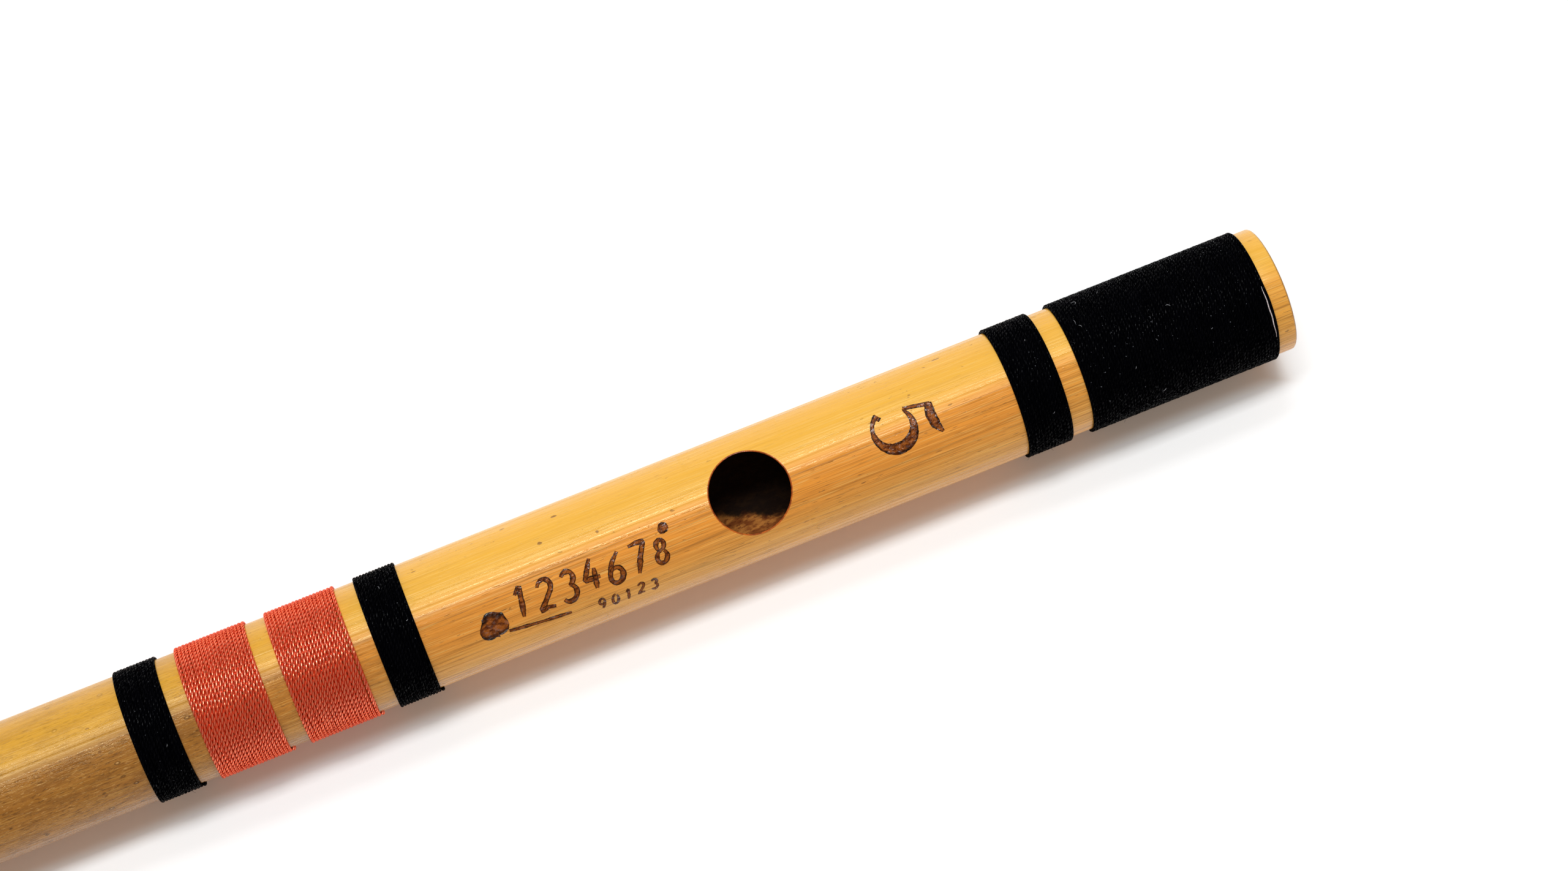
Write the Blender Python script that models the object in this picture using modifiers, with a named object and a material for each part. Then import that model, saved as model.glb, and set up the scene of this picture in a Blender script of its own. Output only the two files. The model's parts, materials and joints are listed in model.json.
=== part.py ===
"""Bansuri: a side-blown bamboo flute with a cork stopper and bindings of wound thread.

Metres, +Z up. The flute lies along X with its head end at +X and its holes facing +Z. The origin is
under the middle of its length, on the surface that it lies on.
"""
import math

import bmesh
import bpy
from mathutils import Vector

# Bamboo tube
TUBE_DIAMETER = 0.0176
WALL = 0.0021
END_EDGE = 0.0004          # rounding of the cut ends, inside and outside
RIM_EDGE = 0.00025         # rounding of the holes' rims

# Lengths along the flute, in order from the head end to the foot end
HEAD_BARE_RING = 0.0025
HEAD_WIDE_WIDTH = 0.0279
HEAD_BAND_SPACE = 0.0026
HEAD_NARROW_WIDTH = 0.0069
HEAD_BAND_TO_BLOW_HOLE = 0.0377     # from the band's edge to the middle of the hole
BLOW_HOLE_TO_CENTRE_BANDS = 0.0472
CENTRE_BLACK_WIDTH = 0.0065
CENTRE_RED_WIDTH = 0.0106
CENTRE_BAND_SPACE = 0.0021
CENTRE_BANDS_TO_FIRST_HOLE = 0.0346
FINGER_HOLE_SPACINGS = (0.0190, 0.0205, 0.0225, 0.0155, 0.0255)
LAST_HOLE_TO_FOOT_BANDS = 0.0066
FOOT_BLACK_WIDTH = 0.0045
FOOT_RED_WIDTH = 0.0080
FOOT_BAND_SPACE = 0.0015
FOOT_BANDS_TO_TUNING_HOLE = 0.0054
TUNING_HOLE_TO_FOOT_WIDE = 0.0055
FOOT_WIDE_WIDTH = 0.0160
FOOT_BARE_RING = 0.0035

# Holes, as diameters at the outside of the wall
BLOW_HOLE_DIAMETER = 0.01124
FINGER_HOLE_DIAMETERS = (0.0076, 0.0078, 0.0082, 0.0070, 0.0086, 0.0078)
TUNING_HOLE_DIAMETER = 0.0070
BLOW_HOLE_UNDERCUT = 0.0004         # how much wider the radius is at the bore

# Cork stopper inside the head
CORK_LENGTH = 0.0180
CORK_TO_BLOW_HOLE = 0.0134          # from its face to the middle of the blow hole
CORK_EDGE = 0.0006
CORK_FIT = 0.0001

# Thread bindings
BINDING_HEIGHT = 0.0006             # how far a binding stands out from the tube
BINDING_EDGE = 0.0003
BINDING_FIT = 0.00002               # space under a binding and under a turn of thread
CORE_HEIGHT = 0.0001                # bed of thread under the outer turns of a red binding
THREAD_DIAMETER = 0.00042
THREAD_SPACE = 0.00060              # open space between neighbouring turns

# Smoothness of round shapes
ROUND_STEPS = 48
HOLE_STEPS = 32
COIL_STEPS = 24
SHARP_ANGLE = math.radians(35)

BAMBOO = ("bamboo", (0.60, 0.36, 0.13), 0.38)
CORK = ("cork", (0.42, 0.25, 0.13), 0.85)
BLACK_THREAD = ("black thread", (0.012, 0.013, 0.018), 0.55)
RED_THREAD = ("red thread", (0.55, 0.02, 0.035), 0.50)

TUBE_RADIUS = TUBE_DIAMETER / 2
BORE_RADIUS = TUBE_RADIUS - WALL
HALF_FACET = math.pi / ROUND_STEPS
AXIS_HEIGHT = (TUBE_RADIUS + BINDING_HEIGHT) * math.cos(HALF_FACET)


def stations():
    """Distances from the head end: each binding's two edges, each hole's middle, and the whole length."""
    bands = {}
    holes = {}

    def band(name, start, width):
        bands[name] = (start, start + width)
        return start + width

    at = band("head_wide_binding", HEAD_BARE_RING, HEAD_WIDE_WIDTH)
    at = band("head_narrow_binding", at + HEAD_BAND_SPACE, HEAD_NARROW_WIDTH)
    at += HEAD_BAND_TO_BLOW_HOLE
    holes["blow_hole"] = at
    at += BLOW_HOLE_TO_CENTRE_BANDS
    at = band("centre_black_binding_1", at, CENTRE_BLACK_WIDTH)
    at = band("centre_red_binding_1", at + CENTRE_BAND_SPACE, CENTRE_RED_WIDTH)
    at = band("centre_red_binding_2", at + CENTRE_BAND_SPACE, CENTRE_RED_WIDTH)
    at = band("centre_black_binding_2", at + CENTRE_BAND_SPACE, CENTRE_BLACK_WIDTH)
    at += CENTRE_BANDS_TO_FIRST_HOLE
    holes["finger_hole_1"] = at
    for number, spacing in enumerate(FINGER_HOLE_SPACINGS, start=2):
        at += spacing
        holes[f"finger_hole_{number}"] = at
    at = band("foot_black_binding_1", at + LAST_HOLE_TO_FOOT_BANDS, FOOT_BLACK_WIDTH)
    at = band("foot_red_binding", at + FOOT_BAND_SPACE, FOOT_RED_WIDTH)
    at = band("foot_black_binding_2", at + FOOT_BAND_SPACE, FOOT_BLACK_WIDTH)
    at += FOOT_BANDS_TO_TUNING_HOLE
    holes["tuning_hole"] = at
    at = band("foot_wide_binding", at + TUNING_HOLE_TO_FOOT_WIDE, FOOT_WIDE_WIDTH)
    return bands, holes, at + FOOT_BARE_RING


def clear_scene():
    for obj in list(bpy.data.objects):
        bpy.data.objects.remove(obj, do_unlink=True)


def collection(name):
    group = bpy.data.collections.new(name)
    bpy.context.scene.collection.children.link(group)
    return group


def material(look):
    name, colour, roughness = look
    mat = bpy.data.materials.get(name)
    if mat is None:
        mat = bpy.data.materials.new(name)
        mat.use_nodes = True
        shader = mat.node_tree.nodes["Principled BSDF"]
        shader.inputs["Base Color"].default_value = (*colour, 1.0)
        shader.inputs["Roughness"].default_value = roughness
        shader.inputs["Metallic"].default_value = 0.0
        mat.diffuse_color = (*colour, 1.0)
    return mat


def ring_profile(inner, outer, half, inner_edge, outer_edge):
    """Closed section of a ring as (radius, height) points, down its outer side and up its inner side."""
    arc = 1 - math.sqrt(0.5)
    return [
        (outer - outer_edge, half),
        (outer - outer_edge * arc, half - outer_edge * arc),
        (outer, half - outer_edge),
        (outer, outer_edge - half),
        (outer - outer_edge * arc, outer_edge * arc - half),
        (outer - outer_edge, -half),
        (inner + inner_edge, -half),
        (inner, inner_edge - half),
        (inner, half - inner_edge),
        (inner + inner_edge, half),
    ]


def sleeve_profile(inner, outer, half, edge):
    """Closed section of a thin sleeve whose outer corners alone are eased."""
    return [(outer - edge, half), (outer, half - edge), (outer, edge - half), (outer - edge, -half),
            (inner, -half), (inner, half)]


def plug_profile(radius, half, edge):
    """Open section of a solid plug, from the middle of its top face round to that of its lower face."""
    return [(0.0, half), (radius - edge, half), (radius, half - edge), (radius, edge - half),
            (radius - edge, -half), (0.0, -half)]


def turned(name, profile, closed, look, group, axis, along):
    """A turned solid round the flute's axis, with a flat facet facing down, at a distance along it."""
    mesh = bpy.data.meshes.new(name)
    points = [(radius * math.cos(HALF_FACET), radius * math.sin(HALF_FACET), height)
              for radius, height in profile]
    edges = [(i, i + 1) for i in range(len(points) - 1)]
    if closed:
        edges.append((len(points) - 1, 0))
    mesh.from_pydata(points, edges, [])
    obj = bpy.data.objects.new(name, mesh)
    screw = obj.modifiers.new("turn", "SCREW")
    screw.steps = ROUND_STEPS
    screw.render_steps = ROUND_STEPS
    screw.use_merge_vertices = True
    screw.merge_threshold = 0.00001
    mesh.materials.append(material(look))
    group.objects.link(obj)
    obj.parent = axis
    obj.location.z = along
    return obj


def hole_cutter(name, diameter, undercut, cutters, axis, along):
    """A cutter through the upper wall only, as wide as the hole outside and wider at the bore."""
    mesh = bpy.data.meshes.new(name)
    shape = bmesh.new()
    top = 2 * WALL
    bottom = -2 * WALL - diameter / 4
    slope = undercut / WALL
    bmesh.ops.create_cone(shape, cap_ends=True, segments=HOLE_STEPS,
                          radius1=diameter / 2 - slope * bottom, radius2=diameter / 2 - slope * top,
                          depth=top - bottom)
    bmesh.ops.translate(shape, verts=shape.verts, vec=(0.0, 0.0, (top + bottom) / 2))
    shape.to_mesh(mesh)
    shape.free()
    obj = bpy.data.objects.new(name, mesh)
    cutters.objects.link(obj)
    obj.parent = axis
    obj.rotation_euler.y = -math.pi / 2
    obj.location = (-TUBE_RADIUS, 0.0, along)
    obj.hide_render = True
    obj.display_type = "WIRE"
    return obj


def cut(obj, cutter):
    boolean = obj.modifiers.new(cutter.name, "BOOLEAN")
    boolean.operation = "DIFFERENCE"
    boolean.solver = "EXACT"
    boolean.object = cutter


def soften_rims(obj):
    bevel = obj.modifiers.new("rims", "BEVEL")
    bevel.width = RIM_EDGE
    bevel.segments = 1
    bevel.limit_method = "ANGLE"
    bevel.angle_limit = math.radians(50)


def coil_points(width, radius):
    """Points along one thread wound from edge to edge, with a straight end of one thread's width."""
    run = width - THREAD_DIAMETER
    turns = math.floor(run / (THREAD_DIAMETER + THREAD_SPACE) * COIL_STEPS) / COIL_STEPS
    count = round(turns * COIL_STEPS)
    points = []
    for i in range(count + 1):
        angle = 2 * math.pi * (i + 0.5) / COIL_STEPS
        points.append(Vector((radius * math.cos(angle), radius * math.sin(angle), run * (0.5 - i / count))))
    head = points[0] + (points[0] - points[1]).normalized() * THREAD_DIAMETER
    foot = points[-1] + (points[-1] - points[-2]).normalized() * THREAD_DIAMETER
    return [head, *points, foot]


def least_gap(points):
    """Least open space between points of the thread that are over half a turn apart."""
    apart = COIL_STEPS // 2
    nearest = min((a - b).length for i, a in enumerate(points) for b in points[i + apart:])
    return nearest - THREAD_DIAMETER


def thread_coil(name, width, look, group, axis, along):
    """The outer turns of a binding as one unbroken tube, wound over its bed."""
    bed = TUBE_RADIUS + BINDING_FIT + CORE_HEIGHT
    radius = (bed + BINDING_FIT + THREAD_DIAMETER / 2) / math.cos(math.pi / COIL_STEPS)
    points = coil_points(width, radius)
    curve = bpy.data.curves.new(name, "CURVE")
    curve.dimensions = "3D"
    curve.bevel_depth = THREAD_DIAMETER / 2
    curve.bevel_resolution = 1
    curve.use_fill_caps = True
    spline = curve.splines.new("POLY")
    spline.points.add(len(points) - 1)
    for target, point in zip(spline.points, points):
        target.co = (*point, 1.0)
    curve.materials.append(material(look))
    obj = bpy.data.objects.new(name, curve)
    group.objects.link(obj)
    obj.parent = axis
    obj.location.z = along
    print(f"{name}: least gap of the thread to itself {least_gap(points) * 1000:.2f} mm")
    return obj


def settle(obj):
    """Turn a modelled object into the mesh that it shows, shaded smooth but for its real edges."""
    graph = bpy.context.evaluated_depsgraph_get()
    mesh = bpy.data.meshes.new_from_object(obj.evaluated_get(graph))
    obj.modifiers.clear()
    obj.data = mesh
    mesh.shade_smooth()
    mesh.set_sharp_from_angle(angle=SHARP_ANGLE)


def bamboo_tube(length, holes, group, cutters, axis):
    profile = ring_profile(BORE_RADIUS, TUBE_RADIUS, length / 2, END_EDGE, END_EDGE)
    tube = turned("bamboo_tube", profile, True, BAMBOO, group, axis, 0.0)
    diameters = (BLOW_HOLE_DIAMETER, *FINGER_HOLE_DIAMETERS, TUNING_HOLE_DIAMETER)
    for (name, at), diameter in zip(holes.items(), diameters):
        undercut = BLOW_HOLE_UNDERCUT if name == "blow_hole" else 0.0
        cut(tube, hole_cutter(name + "_cutter", diameter, undercut, cutters, axis, length / 2 - at))
    soften_rims(tube)
    return tube


def cork_stopper(length, holes, group, axis):
    middle = holes["blow_hole"] - CORK_TO_BLOW_HOLE - CORK_LENGTH / 2
    profile = plug_profile(BORE_RADIUS - CORK_FIT, CORK_LENGTH / 2, CORK_EDGE)
    return turned("cork_stopper", profile, False, CORK, group, axis, length / 2 - middle)


def bindings(length, bands, group, axis):
    pieces = []
    inner = TUBE_RADIUS + BINDING_FIT
    for name, (start, end) in bands.items():
        along = length / 2 - (start + end) / 2
        half = (end - start) / 2
        if "red" in name:
            core = [(inner + CORE_HEIGHT, half), (inner + CORE_HEIGHT, -half), (inner, -half), (inner, half)]
            pieces.append(turned(name + "_core", core, True, RED_THREAD, group, axis, along))
            thread_coil(name + "_thread", end - start, RED_THREAD, group, axis, along)
        else:
            profile = sleeve_profile(inner, TUBE_RADIUS + BINDING_HEIGHT, half, BINDING_EDGE)
            pieces.append(turned(name, profile, True, BLACK_THREAD, group, axis, along))
    return pieces


def main():
    clear_scene()
    group = collection("bansuri")
    cutters = collection("cutters")
    bands, holes, length = stations()

    axis = bpy.data.objects.new("flute_axis", None)
    group.objects.link(axis)
    axis.location.z = AXIS_HEIGHT
    axis.rotation_euler.y = math.pi / 2

    pieces = [bamboo_tube(length, holes, group, cutters, axis), cork_stopper(length, holes, group, axis)]
    pieces += bindings(length, bands, group, axis)
    bpy.context.view_layer.update()
    for obj in pieces:
        settle(obj)


main()
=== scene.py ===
import json
import math
from collections import namedtuple

import bmesh
import bpy
import numpy as np
from mathutils import Matrix, Vector


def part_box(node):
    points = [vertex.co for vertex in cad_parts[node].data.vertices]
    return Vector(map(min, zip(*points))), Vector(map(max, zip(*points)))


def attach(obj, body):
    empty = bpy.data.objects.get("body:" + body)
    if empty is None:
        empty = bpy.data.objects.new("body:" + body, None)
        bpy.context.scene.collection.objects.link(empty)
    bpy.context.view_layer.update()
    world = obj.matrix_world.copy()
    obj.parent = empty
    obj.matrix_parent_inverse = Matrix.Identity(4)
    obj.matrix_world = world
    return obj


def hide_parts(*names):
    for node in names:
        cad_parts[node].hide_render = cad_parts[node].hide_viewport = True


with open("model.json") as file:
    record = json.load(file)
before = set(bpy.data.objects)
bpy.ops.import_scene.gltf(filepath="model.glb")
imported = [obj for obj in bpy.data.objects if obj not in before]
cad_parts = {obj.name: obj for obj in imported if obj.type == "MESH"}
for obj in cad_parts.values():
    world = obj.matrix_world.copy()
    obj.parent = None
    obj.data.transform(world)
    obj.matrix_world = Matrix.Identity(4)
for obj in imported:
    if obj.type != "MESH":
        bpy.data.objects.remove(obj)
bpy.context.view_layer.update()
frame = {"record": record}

MM = 0.001

# The bamboo tube, as in the solids
TUBE_RADIUS = 8.8 * MM
BORE_RADIUS = 6.7 * MM
END_EDGE = 0.4 * MM
UNEVEN = 0.03 * MM  # how far the grown skin strays from a true round

# Hole radii at the skin in mm, and how much wider the blow hole is at the bore
HOLE_RADIUS = {"blow_hole": 5.52, "finger_hole_1": 3.8, "finger_hole_2": 3.9, "finger_hole_3": 4.1,
               "finger_hole_4": 3.5, "finger_hole_5": 4.3, "finger_hole_6": 3.9, "tuning_hole": 3.5}
UNDERCUT = 0.4 * MM
RIM = 0.19 * MM  # burnt rounding of a hole's edge

# Places round the bamboo, in degrees from the top towards +Y
# The golden side faces the lamps, and its gold is partly a painted brightening of that lit side
GOLDEN_SIDE = 78  # middle of the smooth golden side
GROOVES = (25.5, 20.0, 10.5)

# Scuffs of the skin: along (mm from the middle), round (degrees), half length and half width in mm
BLEMISHES = (
    (132.6, 60.0, 0.95, 0.20), (73.9, 27.0, 0.45, 0.35),
    (77.0, 50.0, 0.55, 0.30), (70.0, 62.0, 0.50, 0.18),
    (81.5, 17.0, 0.30, 0.30), (57.0, 50.0, 0.50, 0.15),
    (10.5, -2.0, 0.35, 0.30), (9.0, -42.0, 0.40, 0.28),
    (117.0, -30.0, 0.60, 0.12),
)

# Wound thread
PLIES = 3
PLY_RADIUS = 0.55  # of the thread's radius
SEAT = 0.44  # height of the thread's middle over the skin, of its diameter
TAIL = 0.05 * MM  # how far a thread's end starts outside its band
TAIL_TURNS = 60 / 360
FILAMENT_SLANT = 24  # degrees from the thread's own line

# Cork stopper
CORK_FIT = 0.1 * MM
CORK_EDGE = 0.6 * MM

# The camera, from the photo's fitted view: the flute's own line is the base of the angles
CAMERA_DISTANCE = 511.3 * MM  # from the flute's axis, square to it
CAMERA_FROM_HEAD = 118.2 * MM  # along the flute, from the head end to the foot of that square line
CAMERA_LEAN = math.radians(2.42)  # off upright, towards -Y
CAMERA_TO_HEAD = math.radians(5.41) # turn of the view towards the head end
CAMERA_UP = math.radians(0.645)  # turn of the view up from the flute
CAMERA_ROLL = math.radians(21.62)  # slope of the flute in the picture
FOCAL_PIXELS = 6187
IMAGE_WIDTH = 2560
SENSOR = 36.0

# Light
LAMP_DISTANCE = 2.0
COOL = (0.95, 0.975, 1.0)
WARM = (1.0, 0.88, 0.74)
FLOOR_LIFT = (0.22, 0.22, 0.22)
SHADOW_EDGE = (-10.3, -13.5)  # where the floor's lift begins and is full, in mm from the axis

TUBE_LOW, TUBE_HIGH = (Vector(corner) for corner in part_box("bamboo_tube"))
FOOT_X, HEAD_X = TUBE_LOW.x, TUBE_HIGH.x
AXIS_Z = (TUBE_LOW.z + TUBE_HIGH.z) / 2
HALF_LENGTH = (HEAD_X - FOOT_X) / 2 / MM
HEAD = HEAD_X / MM
# Each hole's place along the flute, from the record's openings
OPENINGS = {box["name"]: box["box_m"] for box in frame["record"]["physics"]["openings"]}
HOLE_X = {name: (OPENINGS[name][0][0] + OPENINGS[name][1][0]) / 2 for name in HOLE_RADIUS}


def new_object(name, data):
    obj = bpy.data.objects.new(name, data)
    bpy.context.scene.collection.objects.link(obj)
    return obj


def add_piece(name, mesh, slot, *solids):
    """The mesh as a piece of the flute, in place of the solids that it stands for, if any."""
    piece = new_object(name, mesh)
    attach(piece, "root")
    if solids:
        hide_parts(*solids)


# Node helpers
class Look:
    """A procedural material with short calls for its nodes. Places are in millimetres from the axis."""

    def __init__(self, name):
        self.material = bpy.data.materials.new(name)
        self.material.use_nodes = True
        self.tree = self.material.node_tree
        self.shader = self.tree.nodes["Principled BSDF"]
        metres = self.add("TexCoord").outputs["Object"]
        self.place = self.mapped(metres, (1 / MM, 1 / MM, 1 / MM), (0, 0, -AXIS_Z / MM))
        self.xyz = self.add("SeparateXYZ", Vector=self.place).outputs

    def put(self, socket, value):
        if isinstance(value, bpy.types.NodeSocket):
            self.tree.links.new(value, socket)
        else:
            socket.default_value = (*value, 1.0) if socket.type == "RGBA" else value

    def set(self, values):
        for name, value in values.items():
            self.put(self.shader.inputs[name], value)

    def add(self, kind, settings=None, **inputs):
        node = self.tree.nodes.new("ShaderNode" + kind)
        for key, value in (settings or {}).items():
            setattr(node, key, value)
        for key, value in inputs.items():
            self.put(node.inputs[key], value)
        return node

    def attribute(self, name):
        return self.add("Attribute", {"attribute_name": name}).outputs

    def math(self, operation, first, *others):
        """An operation on two numbers, or from the first on through all the others."""
        for other in others or (0.0,):
            node = self.add("Math", {"operation": operation})
            self.put(node.inputs[0], first)
            self.put(node.inputs[1], other)
            first = node.outputs[0]
        return first

    def times(self, *values):
        return self.math("MULTIPLY", *values)

    def plus(self, *values):
        return self.math("ADD", *values)

    def minus(self, a, b):
        return self.math("SUBTRACT", a, b)

    def mapped(self, place, scale, shift):
        return self.add("Mapping", Vector=place, Scale=scale, Location=shift).outputs[0]

    def stretched(self, along, across, shift):
        """The place with its scale along the flute and across it changed."""
        return self.mapped(self.place, (along, across, across), (shift, shift, shift))

    def noise(self, along, across, detail=2.0, roughness=0.5, shift=0.0):
        return self.add("TexNoise", Vector=self.stretched(along, across, shift), Scale=1.0,
                        Detail=detail, Roughness=roughness).outputs["Fac"]

    def cells(self, along, across, shift=0.0):
        """Distance from the nearest cell's middle, and a random number of that cell's own."""
        node = self.add("TexVoronoi", Vector=self.stretched(along, across, shift), Scale=1.0)
        own = self.add("SeparateColor", Color=node.outputs["Color"]).outputs[0]
        return node.outputs["Distance"], own

    def step(self, value, low, high, out_low=0.0, out_high=1.0):
        """Smooth step of a value between two levels."""
        levels = {"From Min": low, "From Max": high, "To Min": out_low, "To Max": out_high}
        return self.add("MapRange", {"interpolation_type": "SMOOTHSTEP"}, Value=value, **levels).outputs[0]

    def patches(self, low, high, *noise):
        """Smooth step between two levels of a noise, given by its own values."""
        return self.step(self.noise(*noise), low, high)

    def mix(self, factor, a, b):
        node = self.add("Mix", {"data_type": "RGBA"})
        for place, value in ((0, factor), (6, a), (7, b)):
            self.put(node.inputs[place], value)
        return node.outputs[2]

    def layers(self, colour, kinds, *cover):
        """The colour under kinds of mark, each (marks, strength, tone), where the cover lets them show."""
        for marks, strength, tone in kinds:
            colour = self.mix(self.times(marks, *cover, strength), colour, tone)
        return colour

    def ridge(self, value, centre, width):
        """1 where the value is at the centre, down to 0 a width away."""
        return self.step(self.math("ABSOLUTE", self.minus(value, centre)), width, 0.0)

    def warts_and_glints(self, share):
        """Round bumps half a millimetre across and the dark rings round them, as high as the share; their
        tops carry a painted highlight and the rings painted shade at their sides.
        """
        distance, own = self.cells(0.30, 0.52, 3.0)
        chosen = self.times(self.step(own, 0.35, 0.75), share)
        return [self.times(form, chosen)
                for form in (self.step(distance, 0.085, 0.03), self.ridge(distance, 0.10, 0.06))]

    def bundles(self, closeness, size):
        """Dark dots of cut fibre bundles, each of its own size."""
        distance, own = self.cells(1.0, closeness)
        reach = self.times(self.step(own, 0.1, 0.9, 0.3, 1.0), size)
        return self.step(self.math("DIVIDE", distance, reach), 1.0, 0.55)

    def blemishes(self, angle, places):
        """Dark scuffs with ragged edges at set places: (along, round in degrees, half length, half width)."""
        ragged = self.times(self.noise(2.2, 5.0, 2.0, 0.6, 44.0), 1.3)
        shares = []
        for along, degrees, long, wide in places:
            far = ((self.xyz[0], along, long), (angle, math.radians(degrees), wide * MM / TUBE_RADIUS))
            squares = [self.math("POWER", self.math("DIVIDE", self.minus(at, middle), reach), 2.0)
                       for at, middle, reach in far]
            shares.append(self.step(self.plus(*squares, ragged), 1.35, 0.85))
        return self.plus(*shares)

    def finish(self, colour, roughness, height=None, depth=0.0, specular=0.5, silk=0.0):
        """The relief's depth is in mm. Silk is the share of the shine that takes the thread's own colour."""
        self.set({"Base Color": colour, "Roughness": roughness, "Specular IOR Level": specular,
                  "Metallic": silk})
        if height is not None:
            relief = self.add("Bump", Height=height, Distance=depth * MM, Strength=1.0)
            self.set({"Normal": relief.outputs[0]})
        return self.material


# Bamboo
def ground_colour(look, toward, foot):
    """Tan and paler below, partly its own colour and partly painted fill light on the side away from the
    lamps; golden on the smooth side towards the lamps, partly a painted brightening of that lit side; both
    browner to the foot.
    """
    # Partly painted fill light: the low side, away from the lamps, is paler
    low = look.step(look.times(toward, -1.0), 0.15, 0.80)
    tan = look.mix(look.noise(0.03, 0.25, shift=21.0), (0.93, 0.355, 0.049), (0.83, 0.305, 0.039))
    tan = look.mix(look.step(look.xyz[0], 140, 158, 0.0, 0.75), tan, (0.93, 0.450, 0.074))
    tan = look.mix(low, tan, (0.98, 0.50, 0.112))
    tan = look.mix(foot, tan, look.mix(low, (0.36, 0.145, 0.021), (0.50, 0.235, 0.052)))
    # Partly painted light: the gold sits on the side that faces the lamps
    gold = look.mix(look.noise(0.04, 0.3, shift=33.0), (0.92, 0.50, 0.068), (0.87, 0.455, 0.058))
    gold = look.mix(foot, gold, (0.70, 0.36, 0.036))
    drift = look.times(look.noise(0.03, 0.35, 3.0, shift=3.0), 0.20)
    return look.mix(look.step(look.plus(toward, drift), 0.30, 0.68), tan, gold)


def bamboo_skin():
    """Smooth and golden on the side towards the lamps, the gold partly painted light, sanded and tan with
    open fibres on the other, paler below partly as painted fill, browner to the foot.
    """
    look = Look("bamboo_skin")
    x, y, z = look.xyz
    angle = look.math("ARCTAN2", y, z)
    middle, share = math.radians(GOLDEN_SIDE), MM / TUBE_RADIUS
    toward = look.plus(look.times(y, math.sin(middle) * share), look.times(z, math.cos(middle) * share))
    foot = look.step(look.plus(x, look.times(look.noise(0.05, 0.3, shift=9.0), 30)), 85, 25)
    plain = look.step(toward, 0.24, 0.34)
    worn = look.times(foot, look.step(plain, 0, 1, 1.0, 0.35))
    colour = ground_colour(look, toward, foot)

    # Broad streaks, then fine fibres, long dark lines and short pores, all along the grain
    pores = look.patches(0.70, 0.76, 0.55, 8.0, 1.0, 0.4, 14.0)
    colour = look.layers(colour, (
        (look.patches(0.42, 0.62, 0.016, 1.6, 3.0, 0.6), 0.26, (0.42, 0.16, 0.025)),
        (look.patches(0.49, 0.60, 0.11, 8.5, 2.0, 0.6, 5.0), 0.32, (0.36, 0.13, 0.020)),
        (look.patches(0.57, 0.63, 0.06, 4.6, 2.0, 0.5, 81.0), 0.42, (0.26, 0.095, 0.018)),
        (pores, 0.65, (0.15, 0.055, 0.012)),
    ), look.step(plain, 0, 1, 1.0, 0.22))
    pale = look.patches(0.56, 0.66, 0.13, 7.5, 2.0, 0.5, 40.0)
    colour = look.layers(colour, [(pale, look.step(foot, 0, 1, 0.36, 0.18), (1.0, 0.66, 0.20))])

    # Weathered brown patches, rough short scratches and pale scuffs towards the foot
    colour = look.layers(colour, (
        (look.patches(0.46, 0.60, 0.16, 0.6, 5.0, 0.75, 91.0), 0.55, (0.24, 0.090, 0.016)),
        (look.patches(0.54, 0.62, 0.7, 4.2, 4.0, 0.75, 101.0), 0.72, (0.14, 0.050, 0.010)),
        (look.patches(0.58, 0.66, 1.0, 5.5, 3.0, 0.7, 111.0), 0.40, (0.80, 0.48, 0.17)),
    ), worn)

    # Brown flecks that gather in places, raised warts with a pale top of painted highlight and a dark ring of
    # painted shade, a few plain blemishes, dark ends
    flecks = look.times(look.patches(0.68, 0.74, 0.9, 2.4, 2.0, 0.5, 60.0),
                        look.patches(0.50, 0.60, 0.05, 0.20, 1.0, 0.5, 71.0))
    warts_and_glints, rings = look.warts_and_glints(worn)
    blemishes = look.blemishes(angle, BLEMISHES)
    ends = look.step(look.math("ABSOLUTE", x), HALF_LENGTH - 0.33, HALF_LENGTH - 0.10)
    colour = look.layers(colour, (
        (flecks, 0.70, (0.26, 0.105, 0.020)),
        # Painted shade round the warts, and a painted highlight on their tops
        (rings, 0.85, (0.10, 0.032, 0.006)),
        (warts_and_glints, 0.5, (0.80, 0.50, 0.20)),
        (blemishes, 0.80, (0.22, 0.080, 0.016)),
        (ends, 0.75, (0.20, 0.075, 0.010)),
    ))

    smooth = look.step(toward, 0.50, 0.64)
    height = look.plus(
        look.times(look.noise(0.012, 2.0, 1.0, shift=17.0), 0.8),
        look.times(look.noise(0.05, 6.0, 1.0, shift=5.0), 0.42),
        look.times(look.noise(1.1, 7.5, 1.0, shift=52.0), look.step(smooth, 0, 1, 0.36, 0.04)),
        look.times(look.noise(2.6, 6.5, 2.0, 0.6, 57.0), worn, 1.3))
    for degrees in GROOVES:
        height = look.minus(height, look.times(look.ridge(angle, math.radians(degrees), 0.016), 1.1))
    height = look.plus(height, look.times(pores, -0.3), look.times(look.plus(flecks, blemishes), -0.5),
                       look.times(warts_and_glints, 2.0))
    roughness = look.step(look.noise(0.010, 4.2, 1.0, shift=27.0), 0.42, 0.60, 0.42, 0.14)
    look.set({"Specular Tint": (1.0, 0.86, 0.56)})
    return look.finish(colour, roughness, height, 0.035)


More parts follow.
